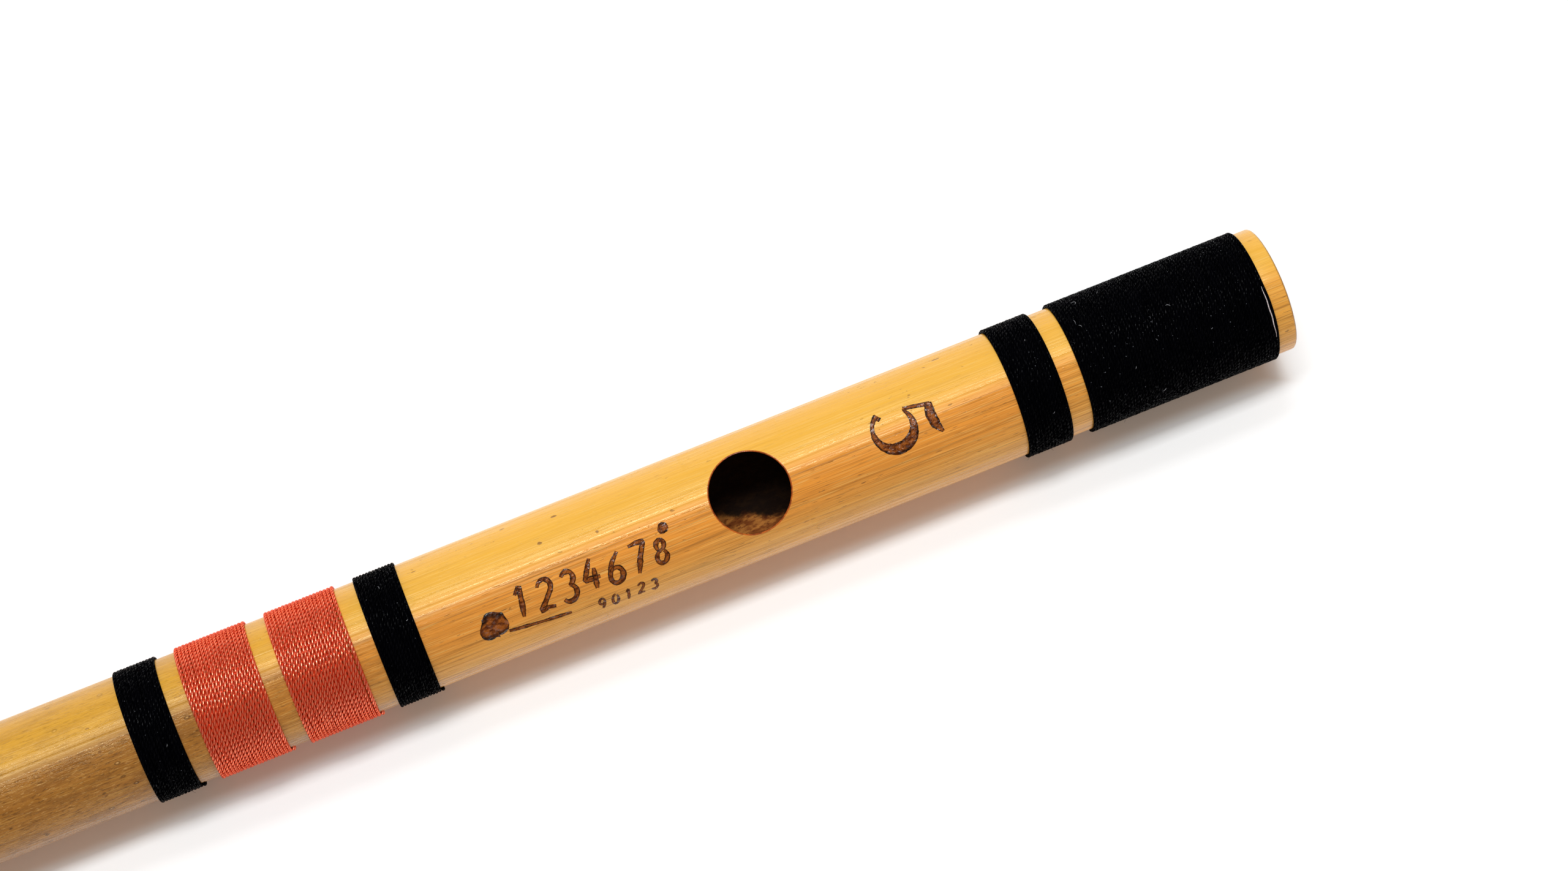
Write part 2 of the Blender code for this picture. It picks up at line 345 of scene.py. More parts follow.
def bamboo_bore():
    """The unworked inside: brown and blotched, with loose fibres, painted dark with shade except for a patch
    under the blow hole.
    """
    look = Look("bamboo_bore")
    x, y, _ = look.xyz
    blotches = look.patches(0.40, 0.62, 0.5, 1.0, 4.0, 0.65)
    colour = look.mix(blotches, (0.26, 0.068, 0.012), (0.62, 0.23, 0.045))
    stains = look.patches(0.53, 0.62, 1.3, 2.0, 3.0, 0.6, 12.0)
    colour = look.layers(colour, [(stains, 0.65, (0.13, 0.022, 0.004))])

    # Painted shade, near black, on all of the bore except a ragged, slanted patch under the blow hole, where
    # light through the hole falls
    along = look.minus(x, HOLE_X["blow_hole"] / MM)
    ragged = look.times(look.noise(0.35, 0.35, 4.0, 0.65, 7.0), 3.4)
    clear_of_painted_shade = look.times(look.step(look.plus(y, ragged, look.times(along, 0.40)), 0.4, -1.9),
                       look.ridge(along, 0.0, 14.0))
    colour = look.mix(look.step(clear_of_painted_shade, 0.0, 0.8, 0.97, 0.0), colour, (0.006, 0.003, 0.0015))
    height = look.noise(0.6, 3.0, 4.0, 0.65, 4.0)
    return look.finish(colour, 0.8, height, 0.12, specular=0.15)


def two_tones(name, patches, tones, roughness, relief, depth, specular=0.5):
    """Patches of two tones, where a noise is under and over two levels, with a relief of a finer noise."""
    look = Look(name)
    colour = look.mix(look.patches(*patches), *tones)
    return look.finish(colour, roughness, look.noise(*relief), depth, specular)


def burnt_rim():
    """The scorched rounding round a hole: orange brown, darkest inside."""
    return two_tones("burnt_rim", (0.35, 0.65, 1.2, 1.2, 3.0, 0.6),
                     ((0.60, 0.13, 0.010), (0.26, 0.045, 0.005)), 0.18, (4.0, 4.0), 0.04)


def burnt_wall():
    """The wall of a hole, burnt through with a hot rod."""
    return two_tones("burnt_wall", (0.48, 0.70, 1.1, 1.1, 4.0, 0.65),
                     ((0.012, 0.007, 0.005), (0.13, 0.045, 0.015)), 0.55, (3.0, 3.0, 3.0, 0.6), 0.06,
                     specular=0.3)


def cut_end():
    """Sawn and sanded end grain: pale, with the dark dots of the fibre bundles."""
    look = Look("cut_end")
    _, y, z = look.xyz
    radius = look.math("SQRT", look.plus(look.times(y, y), look.times(z, z)))
    rind = look.step(radius, 7.3, 8.7)
    bundles = look.math("MAXIMUM", look.times(look.bundles(3.4, 0.36), look.step(rind, 0.3, 0.6, 1.0, 0.0)),
                        look.times(look.bundles(6.2, 0.46), look.step(rind, 0.2, 0.6)))
    ground = look.mix(rind, (0.80, 0.53, 0.22), (0.60, 0.33, 0.09))
    ground = look.mix(look.patches(0.35, 0.65, 0.5, 0.5, 3.0, 0.6, 6.0), ground, (0.62, 0.38, 0.13))
    colour = look.layers(ground, [(bundles, 0.85, (0.26, 0.11, 0.032))])
    height = look.minus(look.noise(3.0, 3.0, 4.0, 0.7), look.times(bundles, 0.35))
    return look.finish(colour, 0.6, height, 0.06, specular=0.3)


def burnt_mark():
    """Burnt marks: brown glassy char with a dark edge."""
    look = Look("burnt_mark")
    blotches = look.patches(0.38, 0.62, 1.4, 2.2, 4.0, 0.65)
    brown = look.mix(blotches, (0.09, 0.018, 0.003), (0.34, 0.092, 0.012))
    scorched = look.mix(look.patches(0.42, 0.60, 1.1, 1.5, 3.0, 0.6, 19.0),
                        (0.075, 0.018, 0.004), (0.010, 0.004, 0.002))
    colour = look.mix(look.step(look.attribute("char")["Fac"], 0.35, 0.95), brown, scorched)
    beads = look.step(look.noise(1.7, 2.2, shift=31.0), 0.52, 0.64, 0.1, 1.0)
    height = look.noise(2.6, 3.2, 2.0, 0.6, 2.0)
    return look.finish(colour, 0.15, height, 0.15, specular=beads)


# Thread, cork and floor
def thread_look(name, light, dark, groove_shade, roughness, specular, relief, shine, silky=None, dust=0.0):
    """Twisted thread: plies with fine filaments along them and turns of uneven colour, and painted shade in
    the grooves between the plies and between the filaments.

    Shine gives the noise levels between which the filaments turn from glossy to dull. Silky is the
    colour of their shine, where it has one.
    """
    look = Look(name)
    ply_turn, along, wrap = look.add("SeparateXYZ", Vector=look.attribute("thread")["Vector"]).outputs
    crest = look.math("ABSOLUTE", look.math("COSINE", look.times(ply_turn, PLIES / 2)))
    crest = look.math("POWER", crest, 0.6)
    cosine, sine = math.cos(math.radians(FILAMENT_SLANT)), math.sin(math.radians(FILAMENT_SLANT))
    run = look.plus(look.times(along, cosine), look.times(wrap, sine))
    side = look.minus(look.times(wrap, cosine), look.times(along, sine))
    lie = look.add("CombineXYZ", X=look.times(run, 1.5), Y=look.times(side, 13.0)).outputs[0]
    filaments = look.add("TexNoise", Vector=lie, Scale=1.0, Detail=1.0).outputs["Fac"]

    colour = look.mix(look.patches(0.3, 0.7, 2.2, 0.12, 2.0, 0.6), light, dark)
    # Painted shade: the hollows between plies and between filaments take the darker groove colour
    colour = look.mix(look.step(crest, 0.62, 0.10), colour, groove_shade)
    colour = look.mix(look.step(filaments, 0.60, 0.75, 0.0, 0.35), colour, groove_shade)
    if dust:
        specks = look.patches(0.765, 0.80, 3.2, 3.2, 1.0, 0.5, 23.0)
        colour = look.layers(colour, [(specks, dust, (0.20, 0.21, 0.24))])

    # Only some filaments on the crests catch the light, and less of it where they are seen edge on
    glossy = look.times(look.step(crest, 0.45, 0.85), look.step(filaments, *shine, 1.0, 0.0))
    edge_on = look.add("LayerWeight").outputs["Facing"]
    flashing = look.times(glossy, look.step(edge_on, 0.15, 0.70, 1.0, 0.3))
    silk = 0.0
    if silky:
        colour = look.mix(glossy, colour, silky)
        silk = look.times(glossy, 0.88)
        look.set({"Coat Weight": flashing, "Coat Roughness": 0.2, "Coat IOR": 2.0,
                  "Coat Tint": (1.0, 0.92, 0.86), "Specular Tint": (1.0, 0.35, 0.25)})
    height = look.plus(look.times(crest, relief), look.times(filaments, 0.35))
    return look.finish(colour, roughness, height, 0.03, look.times(flashing, specular), silk)


def cork_look():
    look = Look("cork_grain")
    ground = look.mix(look.cells(1.6, 1.6)[0], (0.50, 0.30, 0.15), (0.34, 0.18, 0.08))
    pits = look.patches(0.60, 0.68, 0.9, 0.9, 3.0, 0.6)
    colour = look.mix(pits, ground, (0.12, 0.05, 0.02))
    height = look.minus(look.noise(2.0, 2.0, 4.0, 0.6), look.times(pits, 0.8))
    return look.finish(colour, 0.85, height, 0.15, specular=0.2)


def floor_look():
    """Pale paper, warm and not lifted in a band under and beside the flute: a painted shadow over the one the
    lamps cast. Off that band it is whiter and lifted where it is seen, so that it stays white.
    """
    look = Look("pale_floor")
    x, y, _ = look.xyz
    past_end = look.step(look.math("ABSOLUTE", x), HALF_LENGTH - 4.0, HALF_LENGTH + 1.5)
    clear_of_painted_shade = look.math("MAXIMUM", look.step(y, *SHADOW_EDGE), look.step(y, 0.0, 5.0), past_end)
    rays = look.add("LightPath").outputs
    seen = look.math("MAXIMUM", rays["Is Camera Ray"], rays["Is Glossy Ray"], rays["Is Transmission Ray"])
    lifted = look.times(seen, clear_of_painted_shade)
    look.set({"Emission Color": FLOOR_LIFT, "Emission Strength": lifted})
    # Painted shadow: this warm tint shows only where the floor is not lifted, in the flute's shadow band
    painted_shadow_warmth = look.mix(look.noise(0.4, 0.4, 3.0), (0.96, 0.78, 0.66), (0.98, 0.81, 0.69))
    return look.finish(look.mix(lifted, painted_shadow_warmth, (0.98, 0.975, 0.97)), 0.6, specular=0.1)


# Shapes
def skin(x, angle):
    """Radius of the bamboo's outside, a little out of round and wavy. Angles run from +Z towards +Y."""
    wave = (0.5 * np.sin(2 * angle + 11.0 * x + 0.7) + 0.3 * np.sin(3 * angle - 23.0 * x)
            + 0.35 * np.sin(61.0 * x + 1.9 + 0.6 * np.sin(angle)))
    return TUBE_RADIUS + UNEVEN * wave


def bore(x, angle):
    return BORE_RADIUS + UNEVEN * (np.sin(2 * angle - 17 * x) + np.sin(5 * angle + 40 * x)) * 0.8


def spot(x, angle, radius):
    return (x, radius * math.sin(angle), AXIS_Z + radius * math.cos(angle))


def face_outward(mesh, weld=False):
    """Turns the closed body's faces outward, once points on one place are merged where asked."""
    shape = bmesh.new()
    shape.from_mesh(mesh)
    if weld:
        bmesh.ops.remove_doubles(shape, verts=shape.verts, dist=0.001 * MM)
        bmesh.ops.dissolve_degenerate(shape, edges=shape.edges, dist=0.0005 * MM)
    bmesh.ops.recalc_face_normals(shape, faces=shape.faces)
    shape.to_mesh(mesh)
    shape.free()


class Shell:
    """Collects vertices, and faces with their material and, for a mapped piece, their map places."""

    def __init__(self):
        self.verts, self.faces, self.slots, self.places = [], [], [], []

    def vert(self, place):
        self.verts.append(place)
        return len(self.verts) - 1

    def face(self, corners, places=(), slot=0):
        self.faces.append(corners)
        self.places += places
        self.slots.append(slot)

    def mesh(self, name, materials, sharp, weld=False):
        mesh = bpy.data.meshes.new(name)
        mesh.from_pydata(self.verts, [], self.faces)
        for material in materials:
            mesh.materials.append(material)
        mesh.polygons.foreach_set("material_index", self.slots)
        if self.places:
            layer = mesh.uv_layers.new(name="OFBake")
            layer.uv.foreach_set("vector", [number for place in self.places for number in place])
        mesh.shade_smooth()
        mesh.set_sharp_from_angle(angle=math.radians(sharp))
        mesh.validate()
        face_outward(mesh, weld)
        return mesh


def loft(shell, loops, maps, slots):
    """Faces between closed loops of vertices; maps holds each loop's map places, one more than vertices."""
    for k, slot in enumerate(slots):
        a, b = loops[k], loops[k + 1]
        for i in range(len(a)):
            j = (i + 1) % len(a)
            shell.face([a[i], b[i], b[j], a[j]],
                       [maps[k][i], maps[k + 1][i], maps[k + 1][i + 1], maps[k][i + 1]], slot)


# Bamboo tube
COLUMNS = 120
TOP = COLUMNS // 2  # the column along the top
COARSE = 2.0 * MM  # spacing of the grid's lines away from the holes
PATCH_MARGIN = 1.6 * MM  # from a hole's edge to the border of its patch
SKIN, RIM_SLOT, WALL, BORE, END = range(5)
OUTER_MAP = (0.0, 0.62)
INNER_MAP = (0.64, 0.90)
REST_MAP = (0.91, 0.99)
# Steps round the quarter circle of an eased edge: what is left to its side, and how far it has come down
QUARTER = [(1 - math.sin(turn), 1 - math.cos(turn)) for turn in (math.pi / 8 * k for k in range(1, 5))]


class Hole:
    """A hole with the square patch of grid that it replaces."""

    def __init__(self, name, centre, index):
        self.centre = centre
        self.index = index
        self.outer = HOLE_RADIUS[name] * MM
        self.inner = self.outer + (UNDERCUT if name == "blow_hole" else 0.0)
        reach = math.asin((self.inner + RIM) / BORE_RADIUS)
        self.half = math.ceil(reach * COLUMNS / (2 * math.pi) + 0.6)
        self.extent = self.outer + PATCH_MARGIN
        self.lines = [centre + self.extent * (i / self.half) for i in range(-self.half, self.half + 1)]

    def covers(self, x, column):
        inside = abs(x - self.centre) < self.extent * (1 - 0.5 / self.half)
        return inside and abs(column - TOP) < self.half

    def holds_face(self, x, column):
        return abs(x - self.centre) < self.extent and -self.half <= column - TOP < self.half

    def border(self):
        """Grid places round the patch as (line, column) offsets from its centre."""
        h = self.half
        side = range(-h, h)
        return ([(h, i) for i in side] + [(-i, h) for i in side]
                + [(-h, -i) for i in side] + [(i, -h) for i in side])


def grid_lines(holes):
    """Places along the flute where the grid has a line: fine over the holes and coarse between."""
    marks = [FOOT_X + END_EDGE]
    for fine in [hole.lines for hole in sorted(holes, key=lambda h: h.centre)] + [[HEAD_X - END_EDGE]]:
        gap = fine[0] - marks[-1]
        count = max(1, round(gap / COARSE))
        marks += [marks[-1] + gap / count * (i + 1) for i in range(count - 1)] + fine
    return marks


def column_angle(column):
    return 2 * math.pi * (column - TOP) / COLUMNS


def map_place(x, column, band):
    low, high = band
    return ((x - FOOT_X) / (HEAD_X - FOOT_X), low + (high - low) * column / COLUMNS)


def wall_grid(shell, lines, holes, radius_at, band, slot):
    """The outer or inner surface of the tube, less the patches of its holes. Returns its vertices."""
    grid = {}
    for i, x in enumerate(lines):
        for column in range(COLUMNS):
            if not any(hole.covers(x, column) for hole in holes):
                angle = column_angle(column)
                grid[i, column] = shell.vert(spot(x, angle, radius_at(x, angle)))
    for i in range(len(lines) - 1):
        middle = (lines[i] + lines[i + 1]) / 2
        for column in range(COLUMNS):
            if any(hole.holds_face(middle, column) for hole in holes):
                continue
            square = [(i, column), (i + 1, column), (i + 1, column + 1), (i, column + 1)]
            shell.face([grid[line, place % COLUMNS] for line, place in square],
                       [map_place(lines[line], place, band) for line, place in square], slot)
    return grid


def patch_rings(shell, hole, circle, radius_at, band, rings):
    """Loops from the square border of a patch in to a circle on the same surface."""
    h = hole.half
    loops, maps = [], []
    for k in range(1, rings + 1):
        t = k / rings
        blend = t * (2 - t) if circle > 0.6 * hole.extent else t
        loop, places = [], []
        for line, column in hole.border():
            x0, a0 = line / h * hole.extent, column_angle(column + TOP)
            turn = math.atan2(column / h, line / h)
            x1 = circle * math.cos(turn)
            a1 = math.asin(circle * math.sin(turn) / radius_at(hole.centre, 0.0))
            x = hole.centre + x0 + (x1 - x0) * blend
            angle = a0 + (a1 - a0) * blend
            loop.append(shell.vert(spot(x, angle, radius_at(x, angle))))
            places.append(map_place(x, angle / (2 * math.pi) * COLUMNS + TOP, band))
        loops.append(loop)
        maps.append(places + places[:1])
    return loops, maps


def hole_levels(shell, hole):
    """Loops round the rim and down the wall of a hole, from under the skin to over the bore."""
    turns = [math.atan2(column, line) for line, column in hole.border()]
    stretch = [(hole.index + 0.05 + 0.9 * i / len(turns)) / len(HOLE_RADIUS) for i in range(len(turns) + 1)]
    levels = [(hole.outer + RIM * side, RIM * down, 0.0, 0.08 * k)
              for k, (side, down) in enumerate(QUARTER, start=1)]
    for k in range(1, 6):
        levels.append((hole.outer + (hole.inner - hole.outer) * (k / 5), RIM, k / 5, 0.32 + 0.13 * k))
    loops, maps = [], []
    for radius, drop, share, height in levels:
        loop = []
        for turn in turns:
            x, y = hole.centre + radius * math.cos(turn), radius * math.sin(turn)
            top = math.sqrt(max(skin(x, 0.0) ** 2 - y * y, 0)) - drop
            low = math.sqrt(max(bore(x, 0.0) ** 2 - y * y, 0)) + RIM
            loop.append(shell.vert((x, y, AXIS_Z + top + (low - top) * share)))
        loops.append(loop)
        maps.append([(u, REST_MAP[0] + (REST_MAP[1] - REST_MAP[0]) * height) for u in stretch])
    return loops, maps


def cut_hole(shell, hole, outer_grid, inner_grid, lines):
    """The rounded rim, the wall and both patches of one hole, joined to the two surfaces."""
    first = min(range(len(lines)), key=lambda i: abs(lines[i] - hole.centre))
    keys = [(first + line, TOP + column) for line, column in hole.border()]
    ends = [[map_place(lines[i], column, band) for i, column in keys + keys[:1]]
            for band in (OUTER_MAP, INNER_MAP)]
    top, bottom = ([grid[key] for key in keys] for grid in (outer_grid, inner_grid))
    outer, outer_maps = patch_rings(shell, hole, hole.outer + RIM, skin, OUTER_MAP, 6)
    wall, wall_maps = hole_levels(shell, hole)
    inner, inner_maps = patch_rings(shell, hole, hole.inner + RIM, bore, INNER_MAP, 5)
    loft(shell, [top, *outer, *wall, *inner[::-1], bottom],
         [ends[0], *outer_maps, *wall_maps, *inner_maps[::-1], ends[1]],
         [SKIN] * 6 + [RIM_SLOT] * 4 + [WALL] * 6 + [BORE] * 5)


def tube_end(shell, outer_loop, inner_loop, x_end, sign):
    """The rounded and flat end of the tube between its outer and inner surfaces."""
    face = TUBE_RADIUS - BORE_RADIUS - 2 * END_EDGE
    levels = [(END_EDGE * side, TUBE_RADIUS - END_EDGE * down) for side, down in QUARTER]
    levels += [(0.0, TUBE_RADIUS - END_EDGE - face * k / 3) for k in (1, 2, 3)]
    levels += [(END_EDGE * down, BORE_RADIUS + END_EDGE * side) for side, down in QUARTER[:3]]
    loops = [outer_loop]
    for inset, radius in levels:
        fade = (radius - BORE_RADIUS) / (TUBE_RADIUS - BORE_RADIUS)
        loop = []
        for angle in map(column_angle, range(COLUMNS)):
            swell = ((skin(x_end, angle) - TUBE_RADIUS) * fade
                     + (bore(x_end, angle) - BORE_RADIUS) * (1 - fade))
            loop.append(shell.vert(spot(x_end - sign * inset, angle, radius + swell)))
        loops.append(loop)
    loops.append(inner_loop)
    base = 0.0 if sign < 0 else 0.5
    maps = [[(base + 0.5 * i / COLUMNS, 0.99 + 0.01 * k / len(loops)) for i in range(COLUMNS + 1)]
            for k in range(len(loops))]
    loft(shell, loops, maps, [SKIN] * 3 + [END] * 7 + [BORE])


def make_tube():
    holes = [Hole(name, HOLE_X[name], i) for i, name in enumerate(HOLE_RADIUS)]
    lines = grid_lines(holes)
    shell = Shell()
    outer = wall_grid(shell, lines, holes, skin, OUTER_MAP, SKIN)
    inner = wall_grid(shell, lines, holes, bore, INNER_MAP, BORE)
    for hole in holes:
        cut_hole(shell, hole, outer, inner, lines)
    for i, x_end, sign in ((0, FOOT_X, -1), (len(lines) - 1, HEAD_X, 1)):
        tube_end(shell, *([grid[i, c] for c in range(COLUMNS)] for grid in (outer, inner)), x_end, sign)
    looks = [bamboo_skin(), burnt_rim(), burnt_wall(), bamboo_bore(), cut_end()]
    add_piece("flute_tube", shell.mesh("bamboo_tube_fine", looks, 35), "bamboo", "bamboo_tube")


# Wound thread: section holds the angles of its section's points, in degrees
Thread = namedtuple("Thread", "slot diameter pitch lay step section plied look")


def ply_reach(ply_turn):
    """Distance of a section's points from its middle, of its radius, at angles from one ply's crest."""
    sector = 2 * math.pi / PLIES
    off = (ply_turn + sector / 2) % sector - sector / 2
    away = 1 - PLY_RADIUS
    return away * np.cos(off) + np.sqrt(PLY_RADIUS ** 2 - (away * np.sin(off)) ** 2)


def eased(value):
    value = np.clip(value, 0, 1)
    return value * value * (3 - 2 * value)


def wound_path(kind, start, end, foot_tail, slack, seed):
    """Place along the flute, angle and radius of a thread wound tight from edge to edge.

    A tail starts or ends the thread a little outside the band, at its -Y edge. The other end is
    tucked in underneath. Slack is how far the last turn stands off from its neighbour.
    """
    begin, finish = np.radians((-104, -180) if foot_tail else (-180, -85))
    width = end - start - kind.diameter
    turns = max(3, round(width / kind.pitch)) + (finish - begin) / (2 * math.pi)
    around = 2 * math.pi * (TUBE_RADIUS + kind.diameter * SEAT)
    done = np.linspace(0, turns, round(turns * around / kind.step) + 1)
    angle = begin + 2 * math.pi * done

    x = start + kind.diameter / 2 + (width - slack) * done / turns
    x = x + slack * eased((done - turns + 1.15) / 0.3)
    x = x + 0.018 * MM * np.sin(2 * angle + 300 * x + seed) * np.sin(angle * 0.31 + seed)
    from_tail, outward = (done, -TAIL) if foot_tail else (turns - done, TAIL)
    x = x + outward * np.clip(1 - from_tail / TAIL_TURNS, 0, 1) ** 2

    rise = 0.012 * MM * np.sin(angle * 0.37 + seed) + 0.008 * MM * np.sin(angle * 2.71)
    from_end = np.minimum(done, turns - done) * 2 * math.pi
    sink = kind.diameter * 1.1 * np.clip(1 - from_end / 0.12, 0, 1) ** 2
    radius = skin(x, angle) + kind.diameter * SEAT + rise - sink
    return x, angle, radius, done, done * around


def wind(nodes, kind, seed, foot_tail, slack=0.0, gap=0.0):
    """A binding's thread as one closed body. The gap parts its last turn from the others beside the top."""
    lows, highs = zip(*(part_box(node) for node in nodes))
    start, end = min(low[0] for low in lows), max(high[0] for high in highs)
    x, angle, radius, done, length = wound_path(kind, start, end, foot_tail, slack, seed)
    if gap:
        degrees = (np.degrees(angle) + 180) % 360 - 180
        window = eased((degrees + 58) / 25) * eased((8 - degrees) / 22)
        x = x + gap * window * eased((done - done[-1] + 1.2) / 0.1)

    turn = np.radians(kind.section)
    wander = 0.5 * np.sin(angle * 0.53 + seed) + 0.4 * np.sin(angle * 1.9)
    ply_turn = turn[None, :] - (2 * math.pi * length / kind.lay + wander)[:, None]
    shape = (ply_reach(ply_turn) if kind.plied else np.ones_like(ply_turn)) * kind.diameter / 2
    out = radius[:, None] + shape * np.cos(turn)
    rings = np.stack([x[:, None] + shape * np.sin(turn), out * np.sin(angle)[:, None],
                      AXIS_Z + out * np.cos(angle)[:, None]], axis=-1)
    wrap = np.broadcast_to(turn * kind.diameter / 2 / MM, shape.shape)
    along = np.broadcast_to(length[:, None] / MM, shape.shape)

    name = nodes[0].replace("binding", "winding").removesuffix("_core")
    mesh = tube_mesh(name, rings, done)
    attribute = mesh.attributes.new("thread", "FLOAT_VECTOR", "POINT")
    attribute.data.foreach_set("vector", np.stack([ply_turn, along, wrap], axis=-1).ravel())
    mesh.materials.append(kind.look)
    add_piece(name, mesh, kind.slot, *nodes)


def tube_mesh(name, rings, done):
    """A closed tube through rings of points. Its map has a column for each turn, by the turns done."""
    count, points = rings.shape[0] - 1, rings.shape[1]
    row = np.arange(count)[:, None] * points
    col = np.arange(points)[None, :]
    after = (col + 1) % points
    quads = np.stack([row + col, row + after, row + points + after, row + points + col], axis=-1)
    column, height, columns = np.floor(done), done % 1, math.ceil(done[-1])
    left = (column[:-1, None] + col / points) / columns
    right = (column[:-1, None] + (col + 1) / points) / columns
    low = height[:-1, None] + np.zeros((count, points))
    high = low + (height[1] - height[0])
    places = np.stack([left, low, right, low, right, high, left, high], axis=-1)

    caps = np.concatenate([np.arange(points)[::-1], count * points + np.arange(points)])
    starts = np.arange(count * points + 2) * 4
    starts[-1] = starts[-2] + points
    mesh = bpy.data.meshes.new(name)
    mesh.vertices.add((count + 1) * points)
    mesh.vertices.foreach_set("co", rings.ravel())
    mesh.loops.add(count * points * 4 + 2 * points)
    mesh.loops.foreach_set("vertex_index", np.concatenate([quads.ravel(), caps]).astype(np.int32))
    mesh.polygons.add(count * points + 2)
    mesh.polygons.foreach_set("loop_start", starts.astype(np.int32))
    mesh.update(calc_edges=True)
    layer = mesh.uv_layers.new(name="OFBake")
    layer.uv.foreach_set("vector", np.concatenate([places.ravel(), np.zeros(4 * points)]))
    mesh.shade_smooth()
    face_outward(mesh)
    mesh.validate()
    return mesh


def make_bindings():
    # The third colour of each look is the painted shade in its grooves
    black_look = thread_look("black_thread_look", (0.0012, 0.0012, 0.0020), (0.0006, 0.0006, 0.0010),
                             (0.0003, 0.0003, 0.0004), 0.24, 0.11, 1.8, (0.34, 0.46), dust=0.7)
    red_look = thread_look("red_thread_look", (0.58, 0.024, 0.006), (0.46, 0.013, 0.003),
                           (0.20, 0.006, 0.002), 0.25, 0.1, 0.5, (0.50, 0.64), silky=(1.0, 0.185, 0.056))
    black = Thread("black_thread", 0.54 * MM, 0.45 * MM, 2.3 * MM, 0.30 * MM,
                   (-150, -100, -60, -20, 20, 60, 100, 150), False, black_look)
    red = Thread("red_thread", 0.56 * MM, 0.505 * MM, 2.4 * MM, 0.162 * MM,
                 (-160, -120, -96, -72, -48, -24, 0, 24, 48, 72, 96, 120, 160), True, red_look)

    blacks = (("head_wide_binding", True), ("head_narrow_binding", True), ("centre_black_binding_1", False),
              ("centre_black_binding_2", False), ("foot_black_binding_1", False),
              ("foot_black_binding_2", True), ("foot_wide_binding", False))
    for seed, (node, foot_tail) in enumerate(blacks):
        wind([node], black, seed, foot_tail, gap=0.13 * MM if node == "head_wide_binding" else 0.0)
    reds = (("centre_red_binding_1", 0.06 * MM), ("centre_red_binding_2", 0.0), ("foot_red_binding", 0.0))
    for seed, (place, slack) in enumerate(reds, start=20):
        wind([place + "_core", place + "_thread"], red, seed, False, slack=slack)


# Loose fibres on the bindings
def curl(along, across, lift, heading, bend, length, rise=0.0, count=12):
    """Places (along, across, height) in millimetres of a fibre that bends evenly as it goes."""
    step = length / (count - 1)
    places = []
    for i in range(count):
        places.append((along, across, lift + rise * i / (count - 1)))
        turn = heading + bend * i * step
        along += step * math.cos(turn)
        across += step * math.sin(turn)
    return np.array(places)


def strand(shell, places, radius, sides=6):
    """A thin fibre through the places, finer towards both ends."""
    count = len(places)
    rings = []
    for i, (along, across, lift) in enumerate(places):
        ahead = places[min(i + 1, count - 1)] - places[max(i - 1, 0)]
        heading = math.atan2(ahead[1], ahead[0])
        share = radius * math.sin(math.pi * (i + 0.5) / count) ** 0.6
        ring = []
        for k in range(sides):
            side = share * math.cos(2 * math.pi * k / sides)
            up = share * math.sin(2 * math.pi * k / sides)
            x = (along - side * math.sin(heading)) * MM
            angle = (across + side * math.cos(heading)) * MM / TUBE_RADIUS
            ring.append(shell.vert(spot(x, angle, TUBE_RADIUS + (lift + up) * MM)))
        rings.append(ring)
    close_rows(shell, rings)


def close_rows(shell, rows):
    """Faces between closed rows of vertices, and one over each end."""
    for a, b in zip(rows, rows[1:]):
        for k in range(len(a)):
            after = (k + 1) % len(a)
            shell.face([a[k], a[after], b[after], b[k]])
    shell.face(rows[0][::-1])
    shell.face(rows[-1])


# Specks of lint: along and across in mm, height over the skin, heading, bend and length
LINT = (
    (152.9, 8.3, 0.56, 0.2, 3.1, 1.3), (156.4, 8.8, 0.56, 0.9, 0.8, 0.5),
    (151.6, 4.9, 0.56, 1.1, 1.5, 0.7), (151.9, 4.5, 0.56, -0.3, -2.5, 0.5),
    (164.3, 2.3, 0.56, 2.0, 2.0, 0.7), (152.2, -6.8, 0.55, 1.4, 0.0, 0.3),
    (156.8, -3.6, 0.55, 0.7, 2.0, 0.35), (159.8, -8.6, 0.56, 0.1, 1.8, 0.6),
    (160.9, -1.2, 0.55, 1.9, 1.0, 0.3), (168.3, -2.4, 0.55, 0.4, 0.0, 0.3),
    (144.4, 5.3, 0.55, 1.2, 0.0, 0.3), (144.3, -5.2, 0.55, 0.5, 2.0, 0.3),
    (52.0, 6.4, 0.56, 1.2, 2.0, 0.6), (53.8, 0.8, 0.55, 0.3, 1.0, 0.3),
    (18.8, -2.8, 0.55, 0.8, 1.5, 0.4), (-166.7, 3.1, 0.56, 0.5, -2.0, 0.7),
)
# Loose ends at the bindings' -Y edges, all as far round the tube: place along in mm, heading, length
STRAY_ACROSS = -13.6
STRAYS = ((154.6, -2.2, 0.9), (143.4, -1.2, 0.8), (140.3, -2.6, 0.6), (19.0, -1.3, 0.9), (-133.4, -1.9, 0.8))


